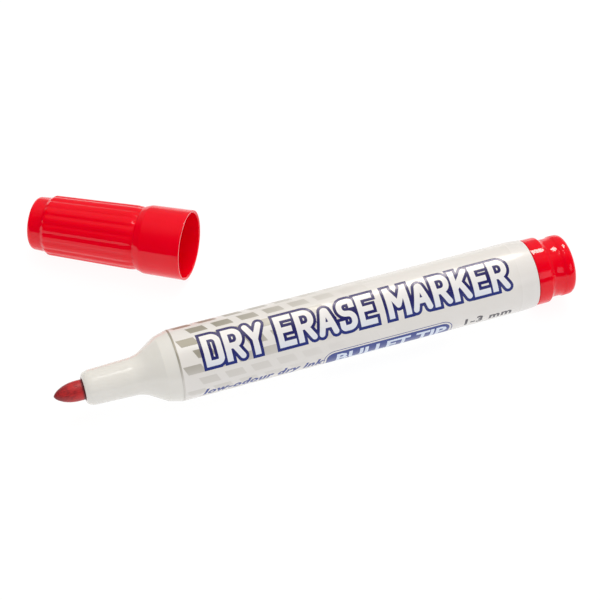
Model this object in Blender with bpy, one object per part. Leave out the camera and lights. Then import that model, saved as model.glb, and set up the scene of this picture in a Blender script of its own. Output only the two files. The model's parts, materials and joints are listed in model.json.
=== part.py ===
"""A whiteboard marker lying on its side, uncapped, with its ribbed cap lying beside it.

The marker is a turned object: every piece is a profile swept round the marker's own axis, or round
the cap's. In a profile x runs along the axis and r away from it. On the marker x = 0 is the seam
between front section and barrel, with the nib towards -X. On the cap x = 0 is the mouth, with the
closed end towards -X, so that the two frames agree when the cap is in line with the nib.

The whole set stands on z = 0, and its bounding box is centred on the origin in X and Y.
"""

import math

import bmesh
import bpy
from mathutils import Vector

# Every size is in metres and every angle in degrees.
GAP = 0.0003  # between two pieces that touch or fit in each other
FINE_GAP = 0.00025  # seam between two visible moulded edges

# Barrel: an open tube, slightly drawn in at its rear end.
BARREL_RADIUS = 0.00825
BARREL_LENGTH = 0.0864
BARREL_WALL = 0.0009
BARREL_SHOULDER_LENGTH = 0.0042
BARREL_SHOULDER_DROP = 0.0003
BARREL_EDGE = 0.0003

# Front section: it holds the nib and carries the tapered seat for the cap's mouth.
SECTION_NOSE = 0.0205  # from the seam forward to the nose
SECTION_LIP_LENGTH = 0.0022
SECTION_LIP_WALL = 0.00025  # flat left around the nib at the nose
NECK_FRONT_RADIUS = 0.00405
NECK_REAR_RADIUS = 0.00438
FLARE_ANGLE = 32.0
FLARE_BLEND = 0.0070  # radius between neck and flare
SEAT_LENGTH = 0.00276
SEAT_REAR_DROP = 0.00013  # the seat's rear edge lies this much inside the barrel's surface
SEAT_TAPER = 0.00065  # and its front edge this much inside the rear one
SPIGOT_LENGTH = 0.0090
SPIGOT_WALL = 0.0010
SECTION_CUP_FLOOR = 0.0015  # from the seam forward to where the cup narrows
SECTION_CONE_LENGTH = 0.0062

# Nib: a bullet head on a long stem that reaches into the ink reservoir.
NIB_RADIUS = 0.00232
NIB_EXPOSED = 0.0068
NIB_HEAD_LENGTH = 0.0054
NIB_HEAD_POWER = 0.66
NIB_STEM_INSIDE = 0.0070  # behind the seam
NIB_TAIL_LENGTH = 0.0015
NIB_TAIL_RADIUS = 0.0012

# Ink reservoir: a fibre core in a film sleeve.
CORE_START = 0.0011
CORE_END_ROOM = 0.0103  # from the core's end to the barrel's
FILM_THICKNESS = 0.00025
FILM_OVERHANG = 0.0002

# End plug: a band, a waist, a second band with a rounded edge, and a hollow spigot.
PLUG_LENGTH = 0.0096
PLUG_BAND_LENGTH = 0.0031
PLUG_BAND_DROP = 0.00039  # each drop is measured in from the barrel's surface
PLUG_STEP_LENGTH = 0.0008
PLUG_WAIST_LENGTH = 0.0030
PLUG_WAIST_DROP = 0.00133
PLUG_TAIL_DROP = 0.00109
PLUG_TAIL_EDGE = 0.0012
PLUG_BAND_EDGE = 0.00025
PLUG_SPIGOT_LENGTH = 0.0084
PLUG_END_WALL = 0.0016
PLUG_CAVITY_STEP = 0.00075  # from the spigot's bore in to the cavity's wall

# Cap shell: a smooth skirt, a ribbed grip and a plain closed end.
CAP_LENGTH = 0.0392
CAP_MOUTH_PROUD = 0.00021  # the mouth stands this much outside the barrel's surface
CAP_SKIRT_LENGTH = 0.0106
CAP_SKIRT_TAPER = 0.00014
CAP_SHOULDER_LENGTH = 0.0011
CAP_SHOULDER_DROP = 0.00047
RIB_COUNT = 20
RIB_HEIGHT = 0.0005
RIB_END_STEP = 0.0007  # from the ribs' crests down to the plain end
RIB_END_LENGTH = 0.0015
CAP_TIP_LENGTH = 0.0034
CAP_TIP_WALL = 0.00075
CAP_TIP_TAPER = 0.0002
CAP_TIP_EDGE = 0.0010
CAP_RIM_WALL = 0.0006
CAP_SKIRT_WALL = 0.00077
CAP_BORE_STEP_LENGTH = 0.0026  # from the skirt's bore in to the narrow bore
CAP_END_WALL = 0.0020
CAP_LEAD_IN = 0.0002

# Cap liner: the cup inside the cap that closes around the neck and the nib.
LINER_ROOM = 0.00042  # around the neck
LINER_WALL = 0.0006
LINER_END_WALL = 0.0008
LINER_LIP_LENGTH = 0.0012

# Where the loose cap lies, seen from above in the marker's frame.
CAP_REST_ALONG = 0.0146  # its mouth's centre, behind the seam
CAP_REST_ASIDE = 0.0356  # and beside the marker's axis
CAP_REST_YAW = -34.1
CAP_READY_GAP = 0.0100  # mouth to nib when the cap is in line with the marker

ROUND_SEGMENTS = 48
INNER_SEGMENTS = 32

SEAT_REAR_RADIUS = BARREL_RADIUS - SEAT_REAR_DROP
SEAT_FRONT_RADIUS = SEAT_REAR_RADIUS - SEAT_TAPER
BARREL_BORE = BARREL_RADIUS - BARREL_WALL
SPIGOT_RADIUS = BARREL_BORE - GAP
SPIGOT_BORE = SPIGOT_RADIUS - SPIGOT_WALL
NIB_BORE = NIB_RADIUS + GAP
NIB_TIP = -(SECTION_NOSE + NIB_EXPOSED)
FILM_OUTER = SPIGOT_BORE - GAP
FILM_INNER = FILM_OUTER - FILM_THICKNESS
CORE_RADIUS = FILM_INNER - GAP
CORE_END = BARREL_LENGTH - CORE_END_ROOM
PLUG_START = BARREL_LENGTH + FINE_GAP
PLUG_TAIL_RADIUS = BARREL_RADIUS - PLUG_TAIL_DROP
LINER_BORE = NECK_REAR_RADIUS + LINER_ROOM
LINER_RADIUS = LINER_BORE + LINER_WALL
CAP_BORE_RADIUS = LINER_RADIUS + GAP
CAP_BORE_START = CAP_SKIRT_LENGTH + CAP_BORE_STEP_LENGTH
CAP_MOUTH_RADIUS = BARREL_RADIUS + CAP_MOUTH_PROUD
CAP_SKIRT_REAR_RADIUS = CAP_MOUTH_RADIUS - CAP_SKIRT_TAPER
RIB_FRONT_RADIUS = CAP_SKIRT_REAR_RADIUS - CAP_SHOULDER_DROP
CAP_TIP_REAR_RADIUS = CAP_BORE_RADIUS + CAP_TIP_WALL
CAP_TIP_FRONT_RADIUS = CAP_TIP_REAR_RADIUS + CAP_TIP_TAPER
RIB_REAR_RADIUS = CAP_TIP_FRONT_RADIUS + RIB_END_STEP


def arc(centre_x, centre_r, size_x, size_r, start, end, steps):
    """Points of an ellipse's arc between two angles in degrees, both ends included."""
    points = []
    for i in range(steps + 1):
        angle = math.radians(start + (end - start) * i / steps)
        x = centre_x + size_x * math.cos(angle)
        points.append((x, centre_r + size_r * math.sin(angle)))
    return points


def rib_angles():
    """Angles round the cap, with the share of the rib's height at each: crest, flank, groove."""
    pitch = 360.0 / RIB_COUNT
    stations = ((0.0, 1.0), (0.28, 1.0), (0.41, 0.0), (0.59, 0.0), (0.72, 1.0))
    return [
        (math.radians(pitch * (rib + place) - 90.0), height)
        for rib in range(RIB_COUNT)
        for place, height in stations
    ]


def round_angles(segments):
    """Even angles round the axis. The first one points down, so a piece touches what it lies on."""
    return [(2 * math.pi * i / segments - math.pi / 2, 1.0) for i in range(segments)]


def turned(name, outline, angles, material, parent):
    """A solid from a closed outline of (x, r) or (x, crest r, groove r), swept round the X axis."""
    mesh = bmesh.new()
    rings = []
    for point in outline:
        x, crest = point[0], point[1]
        groove = point[2] if len(point) > 2 else crest
        if crest == 0.0:
            rings.append([mesh.verts.new((x, 0.0, 0.0))] * len(angles))
            continue
        ring = []
        for angle, height in angles:
            radius = groove + (crest - groove) * height
            ring.append(mesh.verts.new((x, radius * math.cos(angle), radius * math.sin(angle))))
        rings.append(ring)
    for here, there in zip(rings, rings[1:] + rings[:1]):
        for i in range(len(angles)):
            j = (i + 1) % len(angles)
            corners = list(dict.fromkeys((here[i], here[j], there[j], there[i])))
            if len(corners) > 2:
                mesh.faces.new(corners)
    bmesh.ops.recalc_face_normals(mesh, faces=mesh.faces)
    data = bpy.data.meshes.new(name)
    mesh.to_mesh(data)
    mesh.free()
    data.shade_smooth()
    data.set_sharp_from_angle(angle=math.radians(30))
    data.materials.append(material)
    obj = bpy.data.objects.new(name, data)
    obj.parent = parent
    bpy.context.scene.collection.objects.link(obj)
    return obj


def plastic(name, colour, roughness):
    """A Principled material with a colour in linear RGB."""
    material = bpy.data.materials.new(name)
    material.use_nodes = True
    shader = material.node_tree.nodes["Principled BSDF"]
    shader.inputs["Base Color"].default_value = (*colour, 1.0)
    shader.inputs["Roughness"].default_value = roughness
    shader.inputs["Metallic"].default_value = 0.0
    return material


def empty(name, place, parent=None):
    """An empty that holds a frame for the pieces under it."""
    obj = bpy.data.objects.new(name, None)
    obj.location = place
    obj.parent = parent
    bpy.context.scene.collection.objects.link(obj)
    return obj


def barrel_outline():
    end = BARREL_LENGTH
    end_radius = BARREL_RADIUS - BARREL_SHOULDER_DROP
    shoulder = arc(
        end - BARREL_SHOULDER_LENGTH,
        end_radius,
        BARREL_SHOULDER_LENGTH - BARREL_EDGE,
        BARREL_SHOULDER_DROP,
        90,
        20,
        4,
    )
    edge = arc(end - BARREL_EDGE, end_radius - BARREL_EDGE, BARREL_EDGE, BARREL_EDGE, 70, 0, 2)
    return [
        (FINE_GAP, BARREL_BORE),
        (FINE_GAP, BARREL_RADIUS - BARREL_EDGE / 2),
        (FINE_GAP + BARREL_EDGE / 2, BARREL_RADIUS),
        *shoulder,
        *edge,
        (end, BARREL_BORE),
    ]


def flare_start():
    """x where the flare's straight line, run on forward, would meet the neck."""
    slope = math.tan(math.radians(FLARE_ANGLE))
    return -SEAT_LENGTH - (SEAT_FRONT_RADIUS - NECK_REAR_RADIUS) / slope


def section_outline():
    nose = -SECTION_NOSE
    lip_radius = NIB_BORE + SECTION_LIP_WALL
    lip = arc(
        nose + SECTION_LIP_LENGTH,
        lip_radius,
        SECTION_LIP_LENGTH,
        NECK_FRONT_RADIUS - lip_radius,
        180,
        90,
        6,
    )
    blend_start = flare_start() - FLARE_BLEND * math.tan(math.radians(FLARE_ANGLE / 2))
    blend = arc(
        blend_start,
        NECK_REAR_RADIUS + FLARE_BLEND,
        FLARE_BLEND,
        FLARE_BLEND,
        -90,
        -90 + FLARE_ANGLE,
        5,
    )
    return [
        (nose, NIB_BORE),
        *lip,
        *blend,
        (-SEAT_LENGTH, SEAT_FRONT_RADIUS),
        (-BARREL_EDGE / 2, SEAT_REAR_RADIUS),
        (0.0, SEAT_REAR_RADIUS - BARREL_EDGE / 2),
        (0.0, SPIGOT_RADIUS),
        (SPIGOT_LENGTH - BARREL_EDGE, SPIGOT_RADIUS),
        (SPIGOT_LENGTH, SPIGOT_RADIUS - BARREL_EDGE),
        (SPIGOT_LENGTH, SPIGOT_BORE),
        (-SECTION_CUP_FLOOR, SPIGOT_BORE),
        (-SECTION_CUP_FLOOR - SECTION_CONE_LENGTH, NIB_BORE),
    ]


def head_profile(start, length, radius, steps):
    """The bullet head from its point to its full radius, with closer points near the tip."""
    points = [(start, 0.0)]
    for i in range(1, steps + 1):
        share = 1.0 - math.cos(math.pi / 2 * i / steps)
        radius_here = radius * (1.0 - (1.0 - share) ** 2) ** NIB_HEAD_POWER
        points.append((start + length * share, radius_here))
    return points


def nib_outline():
    return [
        *head_profile(NIB_TIP, NIB_HEAD_LENGTH, NIB_RADIUS, 8),
        (NIB_STEM_INSIDE - NIB_TAIL_LENGTH, NIB_RADIUS),
        (NIB_STEM_INSIDE, NIB_TAIL_RADIUS),
        (NIB_STEM_INSIDE, 0.0),
    ]


def core_outline():
    """The fibre core, with the blind hole that the nib's stem presses into its front."""
    return [
        (NIB_STEM_INSIDE + GAP, 0.0),
        (NIB_STEM_INSIDE + GAP, NIB_TAIL_RADIUS + GAP),
        (NIB_STEM_INSIDE + GAP - NIB_TAIL_LENGTH, NIB_BORE),
        (CORE_START, NIB_BORE),
        (CORE_START, CORE_RADIUS),
        (CORE_END, CORE_RADIUS),
        (CORE_END, 0.0),
    ]


def film_outline():
    start = CORE_START - FILM_OVERHANG
    end = CORE_END + FILM_OVERHANG
    return [(start, FILM_INNER), (start, FILM_OUTER), (end, FILM_OUTER), (end, FILM_INNER)]


def plug_outline():
    start = PLUG_START
    end = start + PLUG_LENGTH
    band_end = start + PLUG_BAND_LENGTH
    waist_start = band_end + PLUG_STEP_LENGTH
    waist_end = waist_start + PLUG_WAIST_LENGTH
    waist = arc(
        (waist_start + waist_end) / 2,
        PLUG_TAIL_RADIUS,
        PLUG_WAIST_LENGTH / 2,
        PLUG_WAIST_DROP - PLUG_TAIL_DROP,
        180,
        360,
        6,
    )
    edge = arc(
        end - PLUG_TAIL_EDGE,
        PLUG_TAIL_RADIUS - PLUG_TAIL_EDGE,
        PLUG_TAIL_EDGE,
        PLUG_TAIL_EDGE,
        90,
        0,
        5,
    )
    band_radius = BARREL_RADIUS - PLUG_BAND_DROP
    cavity_radius = SPIGOT_BORE - PLUG_CAVITY_STEP
    spigot_start = BARREL_LENGTH - PLUG_SPIGOT_LENGTH
    floor = end - PLUG_END_WALL
    return [
        (spigot_start, SPIGOT_BORE),
        (spigot_start, SPIGOT_RADIUS - BARREL_EDGE),
        (spigot_start + BARREL_EDGE, SPIGOT_RADIUS),
        (start, SPIGOT_RADIUS),
        (start, band_radius - PLUG_BAND_EDGE),
        (start + PLUG_BAND_EDGE, band_radius),
        (band_end, band_radius),
        *waist,
        *edge,
        (end, 0.0),
        (floor, 0.0),
        (floor, cavity_radius),
        (BARREL_LENGTH, cavity_radius),
    ]


def cap_outline():
    """Outer profile from the mouth to the closed end, then back along the bore."""
    skirt_end = -CAP_SKIRT_LENGTH
    rib_start = skirt_end - CAP_SHOULDER_LENGTH
    tip_start = -CAP_LENGTH + CAP_TIP_LENGTH
    rib_end = tip_start + RIB_END_LENGTH
    rim_bore = CAP_MOUTH_RADIUS - CAP_RIM_WALL
    skirt_bore = CAP_SKIRT_REAR_RADIUS - CAP_SKIRT_WALL
    edge = arc(
        -CAP_LENGTH + CAP_TIP_EDGE,
        CAP_TIP_REAR_RADIUS - CAP_TIP_EDGE,
        CAP_TIP_EDGE,
        CAP_TIP_EDGE,
        90,
        180,
        4,
    )
    return [
        (0.0, rim_bore + CAP_LEAD_IN),
        (0.0, CAP_MOUTH_RADIUS - CAP_LEAD_IN / 2),
        (-CAP_LEAD_IN, CAP_MOUTH_RADIUS),
        (skirt_end, CAP_SKIRT_REAR_RADIUS),
        (rib_start, RIB_FRONT_RADIUS, RIB_FRONT_RADIUS - RIB_HEIGHT),
        (rib_end, RIB_REAR_RADIUS, RIB_REAR_RADIUS - RIB_HEIGHT),
        (tip_start, CAP_TIP_FRONT_RADIUS),
        *edge,
        (-CAP_LENGTH, 0.0),
        (-CAP_LENGTH + CAP_END_WALL, 0.0),
        (-CAP_LENGTH + CAP_END_WALL, CAP_BORE_RADIUS),
        (-CAP_BORE_START, CAP_BORE_RADIUS),
        (skirt_end, skirt_bore),
        (-CAP_LEAD_IN, rim_bore),
    ]


def liner_outline():
    """The cup in the cap's bore, with a lip at its mouth that closes on the neck."""
    mouth = -CAP_BORE_START - GAP
    end = -CAP_LENGTH + CAP_END_WALL + GAP
    lip_end = mouth - LINER_LIP_LENGTH
    lip_radius = NECK_REAR_RADIUS + GAP / 2
    return [
        (mouth, lip_radius + GAP),
        (mouth, LINER_RADIUS),
        (end, LINER_RADIUS),
        (end, 0.0),
        (end + LINER_END_WALL, 0.0),
        (end + LINER_END_WALL, LINER_BORE),
        (lip_end - LINER_LIP_LENGTH, LINER_BORE),
        (lip_end, lip_radius),
        (mouth - LINER_LIP_LENGTH / 2, lip_radius),
    ]


def cap_lean():
    """Angle by which the cap's axis rises towards its mouth, as it lies on its skirt's rear edge
    and on the rear ends of its ribs."""
    run = CAP_LENGTH - CAP_TIP_LENGTH - RIB_END_LENGTH - CAP_SKIRT_LENGTH
    return math.atan2(CAP_SKIRT_REAR_RADIUS - RIB_REAR_RADIUS, run)


def cap_pivot():
    """Where the cap turns about a vertical axis to come in line with the nib, in the marker's frame.

    A turn about this point takes the mouth from its rest to its place in front of the nib while it
    turns the cap by its yaw.
    """
    turn = complex(math.cos(math.radians(-CAP_REST_YAW)), math.sin(math.radians(-CAP_REST_YAW)))
    rest = complex(CAP_REST_ALONG, CAP_REST_ASIDE)
    ready = complex(NIB_TIP - CAP_READY_GAP, 0.0)
    pivot = (ready - turn * rest) / (1 - turn)
    return Vector((pivot.real, pivot.imag, 0.0))


def centre_on_origin(root):
    """Moves the set so that its bounding box is centred on the origin in X and Y."""
    bpy.context.view_layer.update()
    points = [
        obj.matrix_world @ vertex.co
        for obj in bpy.data.objects
        if obj.type == "MESH"
        for vertex in obj.data.vertices
    ]
    for axis in (0, 1):
        values = [point[axis] for point in points]
        root.location[axis] -= (min(values) + max(values)) / 2
    bpy.context.view_layer.update()


def build_marker(root):
    white = plastic("white_moulding", (0.80, 0.79, 0.76), 0.35)
    print_white = plastic("printed_barrel", (0.82, 0.81, 0.79), 0.30)
    red = plastic("red_moulding", (0.76, 0.008, 0.02), 0.25)
    felt = plastic("inked_felt", (0.36, 0.02, 0.03), 0.9)
    fibre = plastic("inked_fibre", (0.50, 0.03, 0.04), 0.95)
    film = plastic("reservoir_film", (0.75, 0.75, 0.75), 0.2)
    axis = empty("marker_axis", (0.0, 0.0, BARREL_RADIUS), root)
    outer, inner = round_angles(ROUND_SEGMENTS), round_angles(INNER_SEGMENTS)
    turned("barrel", barrel_outline(), outer, print_white, axis)
    turned("front_section", section_outline(), outer, white, axis)
    turned("nib", nib_outline(), inner, felt, axis)
    turned("reservoir_core", core_outline(), inner, fibre, axis)
    turned("reservoir_film", film_outline(), inner, film, axis)
    turned("end_plug", plug_outline(), outer, red, axis)


def build_cap(root):
    red = plastic("red_cap_moulding", (0.76, 0.008, 0.02), 0.25)
    natural = plastic("natural_liner", (0.78, 0.77, 0.74), 0.4)
    lean = cap_lean()
    pivot = cap_pivot()
    hinge = empty("cap_swing", pivot, root)
    mouth_height = CAP_SKIRT_REAR_RADIUS * math.cos(lean) + CAP_SKIRT_LENGTH * math.sin(lean)
    mouth = Vector((CAP_REST_ALONG, CAP_REST_ASIDE, mouth_height))
    axis = empty("cap_axis", mouth - pivot, hinge)
    axis.rotation_euler = (0.0, -lean, math.radians(CAP_REST_YAW))
    turned("cap_shell", cap_outline(), rib_angles(), red, axis)
    turned("cap_liner", liner_outline(), round_angles(INNER_SEGMENTS), natural, axis)


def main():
    for obj in list(bpy.data.objects):
        bpy.data.objects.remove(obj, do_unlink=True)
    root = empty("marker_set", (0.0, 0.0, 0.0))
    build_marker(root)
    build_cap(root)
    centre_on_origin(root)


main()
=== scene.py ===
"""Looks of a bullet-tip whiteboard marker that lies uncapped, with its ribbed red cap beside it.

Every visible piece is a turned body: an outline swept round the marker's axis or round the cap's by
one Geometry Nodes tree, which also cuts the cap's ribs. The barrel's print is cut into the barrel's
own surface, so each ink is a crisp region of the moulding and not a sheet that floats above it.
"""

import json
import logging
import math
from dataclasses import dataclass, field
from enum import Enum
from typing import Any, Mapping, Sequence

import bmesh
import bpy
from mathutils import Matrix, Vector
from mathutils.geometry import delaunay_2d_cdt


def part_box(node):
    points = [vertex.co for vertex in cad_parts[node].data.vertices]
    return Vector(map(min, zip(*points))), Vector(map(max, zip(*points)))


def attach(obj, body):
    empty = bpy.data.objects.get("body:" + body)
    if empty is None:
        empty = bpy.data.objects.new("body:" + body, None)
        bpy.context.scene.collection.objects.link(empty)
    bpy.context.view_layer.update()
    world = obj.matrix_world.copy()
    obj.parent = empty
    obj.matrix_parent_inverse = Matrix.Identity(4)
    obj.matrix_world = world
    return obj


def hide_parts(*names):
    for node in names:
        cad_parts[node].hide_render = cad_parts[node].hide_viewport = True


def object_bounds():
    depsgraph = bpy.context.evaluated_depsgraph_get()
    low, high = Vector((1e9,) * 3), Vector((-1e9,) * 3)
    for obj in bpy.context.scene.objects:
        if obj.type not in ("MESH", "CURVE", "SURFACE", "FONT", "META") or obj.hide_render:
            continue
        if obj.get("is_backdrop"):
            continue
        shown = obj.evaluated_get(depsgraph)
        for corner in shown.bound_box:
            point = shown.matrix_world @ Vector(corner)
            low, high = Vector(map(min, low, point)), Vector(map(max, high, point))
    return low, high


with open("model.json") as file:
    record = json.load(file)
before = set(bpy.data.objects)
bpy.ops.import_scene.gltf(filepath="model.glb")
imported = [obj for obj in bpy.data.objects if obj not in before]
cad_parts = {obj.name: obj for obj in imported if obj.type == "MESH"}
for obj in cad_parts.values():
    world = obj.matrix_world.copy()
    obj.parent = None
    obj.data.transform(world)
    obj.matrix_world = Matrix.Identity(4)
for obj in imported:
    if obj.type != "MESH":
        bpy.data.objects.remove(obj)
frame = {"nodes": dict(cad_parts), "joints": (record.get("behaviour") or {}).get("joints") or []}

MM = 0.001
MARKER_BODY = "marker"
CAP_BODY = "cap"
ROUND_SEGMENTS = 144
# Points nearer than this are one, and faces narrower than this have no area.
MERGE_DISTANCE = 0.002 * MM
NO_WIDTH = 0.0005 * MM
# The outline's attribute that holds the depth of the grooves between the ribs.
GROOVE = "groove"
# Clear lacquer over every printed ink.
LACQUER_WEIGHT = 0.25
LACQUER_ROUGHNESS = 0.12

log = logging.getLogger("marker")


# ---------------------------------------------------------------- colours and nodes


def linear(hex_colour: str) -> tuple[float, float, float, float]:
    """Turns an sRGB hex colour into Blender's linear RGBA.

    Args:
        hex_colour: a colour such as "#E4061F".

    Returns:
        Linear red, green, blue and an alpha of 1.
    """
    channels = []
    for start in (1, 3, 5):
        value = int(hex_colour[start : start + 2], 16) / 255
        low = value / 12.92
        high = ((value + 0.055) / 1.055) ** 2.4
        channels.append(low if value <= 0.04045 else high)
    return (channels[0], channels[1], channels[2], 1.0)


def add_node(
    tree: bpy.types.NodeTree,
    kind: str,
    inputs: Mapping[Any, Any] | None = None,
    settings: Mapping[str, Any] | None = None,
) -> bpy.types.Node:
    """Adds a node to a shader or geometry tree.

    Args:
        tree: the tree that gets the node.
        kind: the node's Blender type name.
        inputs: values by input name or number; an output socket is linked.
        settings: the node's own properties.

    Returns:
        The new node.
    """
    node = tree.nodes.new(kind)
    for name, value in (settings or {}).items():
        setattr(node, name, value)
    for name, value in (inputs or {}).items():
        if isinstance(value, bpy.types.NodeSocket):
            tree.links.new(value, node.inputs[name])
        else:
            node.inputs[name].default_value = value
    return node


def ramp(tree: bpy.types.NodeTree, factor: bpy.types.NodeSocket, *stops: tuple[float, str]) -> Any:
    """Adds a colour ramp.

    Args:
        tree: the shader tree.
        factor: what the ramp reads.
        stops: places from 0 to 1 with their hex colours.

    Returns:
        The ramp's colour output.
    """
    node = add_node(tree, "ShaderNodeValToRGB", {"Fac": factor})
    elements = node.color_ramp.elements
    while len(elements) < len(stops):
        elements.new(0.5)
    for element, (place, colour) in zip(elements, stops):
        element.position = place
        element.color = linear(colour)
    return node.outputs["Color"]


def spread(
    tree: bpy.types.NodeTree,
    value: Any,
    low: float,
    high: float,
    span: tuple[float, float] = (0.0, 1.0),
) -> Any:
    """Maps a value from a span of its own to another range.

    Args:
        tree: the shader tree.
        value: the socket to map.
        low: the result at the span's start.
        high: the result at the span's end.
        span: the value's own range.

    Returns:
        The mapped socket.
    """
    places = {"Value": value, "From Min": span[0], "From Max": span[1], "To Min": low, "To Max": high}
    return add_node(tree, "ShaderNodeMapRange", places).outputs["Result"]


def grain(
    tree: bpy.types.NodeTree,
    size_mm: float,
    detail: float = 2.0,
    stretch: tuple[float, float, float] = (1.0, 1.0, 1.0),
) -> Any:
    """Adds a noise whose features have a real size.

    Args:
        tree: the shader tree.
        size_mm: how far apart the features lie.
        detail: the noise's octaves.
        stretch: how much longer the features are along each of the piece's axes.

    Returns:
        The noise's factor, around 0.5.
    """
    place = add_node(tree, "ShaderNodeTexCoord").outputs["Object"]
    scale = tuple(1.0 / share for share in stretch)
    stretched = add_node(tree, "ShaderNodeMapping", {"Vector": place, "Scale": scale})
    inputs = {
        "Vector": stretched.outputs["Vector"],
        "Scale": 1.0 / (size_mm * MM),
        "Detail": detail,
        "Roughness": 0.55,
    }
    return add_node(tree, "ShaderNodeTexNoise", inputs).outputs["Fac"]


def speckled(tree: bpy.types.NodeTree, pattern: Any, low: float, high: float) -> Any:
    """Spreads a grain's middle range, which holds nearly all of it, over two values.

    Args:
        tree: the shader tree.
        pattern: the grain's factor.
        low: the result in its hollows.
        high: the result on its crests.

    Returns:
        The mapped socket.
    """
    return spread(tree, pattern, low, high, (0.3, 0.7))


def new_material(name: str) -> tuple[bpy.types.Material, bpy.types.NodeTree, bpy.types.Node]:
    """Makes an empty node material.

    Args:
        name: the finish's name.

    Returns:
        The material, its tree and its Principled shader.
    """
    material = bpy.data.materials.new(name)
    material.use_nodes = True
    tree = material.node_tree
    return material, tree, tree.nodes["Principled BSDF"]


# ---------------------------------------------------------------- finishes


@dataclass(frozen=True)
class Moulding:
    """Injection-moulded polypropylene from a polished mould.

    It has a soft gloss with a faint ripple that bends reflections, a very fine grain, and light
    that goes a little way into the colour.
    """

    name: str
    colour: str
    deep_colour: str
    roughness: float = 0.14
    glow: float = 0.12
    glow_mm: float = 0.8
    glow_tint: tuple[float, float, float] = (1.0, 0.9, 0.8)
    # Polypropylene's refractive index.
    ior: float = 1.49
    specular: float = 0.5
    # Flow ripple in the moulding, about 6 mm from crest to crest.
    ripple_mm: float = 6.0
    ripple_depth_mm: float = 0.08
    ripple_strength: float = 0.2
    # The mould's spark grain is about 0.05 mm; drawn at 0.25 mm so that it shows.
    grain_mm: float = 0.25
    grain_depth_mm: float = 0.005
    grain_strength: float = 0.06

    def material(self) -> bpy.types.Material:
        """Makes the moulding's material.

        Returns:
            The material.
        """
        material, tree, shader = new_material(self.name)
        ripple = grain(tree, self.ripple_mm)
        fine = grain(tree, self.grain_mm, 3.0)
        colour = ramp(tree, ripple, (0.3, self.deep_colour), (0.7, self.colour))
        tree.links.new(colour, shader.inputs["Base Color"])
        rough = speckled(tree, fine, self.roughness - 0.02, self.roughness + 0.03)
        tree.links.new(rough, shader.inputs["Roughness"])
        waves = {
            "Height": ripple,
            "Strength": self.ripple_strength,
            "Distance": self.ripple_depth_mm * MM,
        }
        specks = {
            "Height": fine,
            "Strength": self.grain_strength,
            "Distance": self.grain_depth_mm * MM,
            "Normal": add_node(tree, "ShaderNodeBump", waves).outputs["Normal"],
        }
        bump = add_node(tree, "ShaderNodeBump", specks)
        tree.links.new(bump.outputs["Normal"], shader.inputs["Normal"])
        shader.inputs["IOR"].default_value = self.ior
        shader.inputs["Specular IOR Level"].default_value = self.specular
        shader.inputs["Subsurface Weight"].default_value = self.glow
        shader.inputs["Subsurface Radius"].default_value = self.glow_tint
        shader.inputs["Subsurface Scale"].default_value = self.glow_mm * MM
        return material


@dataclass(frozen=True)
class Ink:
    """A screen-printed ink under clear lacquer.

    Its colour runs from an upper to a lower tone with height above the table, which is painted light and
    shade: the tone follows how the light falls down the barrel's near side, not the ink itself. The lacquer
    gives every ink the same gloss.
    """

    name: str
    upper: str
    lower: str
    roughness: float = 0.35
    # Heights between which the painted light and shade changes the colour, above the surface that the marker
    # lies on.
    upper_mm: float = 15.5
    lower_mm: float = 10.5
    # Screen mesh of about 60 threads per centimetre; drawn at 0.3 mm so that it shows.
    mesh_mm: float = 0.3

    def material(self) -> bpy.types.Material:
        """Makes the ink's material.

        Returns:
            The material.
        """
        material, tree, shader = new_material(self.name)
        place = add_node(tree, "ShaderNodeTexCoord").outputs["Object"]
        height = add_node(tree, "ShaderNodeSeparateXYZ", {0: place}).outputs["Z"]
        # Painted light and shade: the colour turns from the upper to the lower tone as the near side goes
        # down.
        down = spread(tree, height, 1.0, 0.0, (self.lower_mm * MM, self.upper_mm * MM))
        colour = ramp(tree, down, (0.0, self.upper), (1.0, self.lower))
        tree.links.new(colour, shader.inputs["Base Color"])
        mesh = grain(tree, self.mesh_mm, 2.0)
        rough = speckled(tree, mesh, self.roughness - 0.05, self.roughness + 0.06)
        tree.links.new(rough, shader.inputs["Roughness"])
        shader.inputs["Coat Weight"].default_value = LACQUER_WEIGHT
        shader.inputs["Coat Roughness"].default_value = LACQUER_ROUGHNESS
        return material


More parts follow.
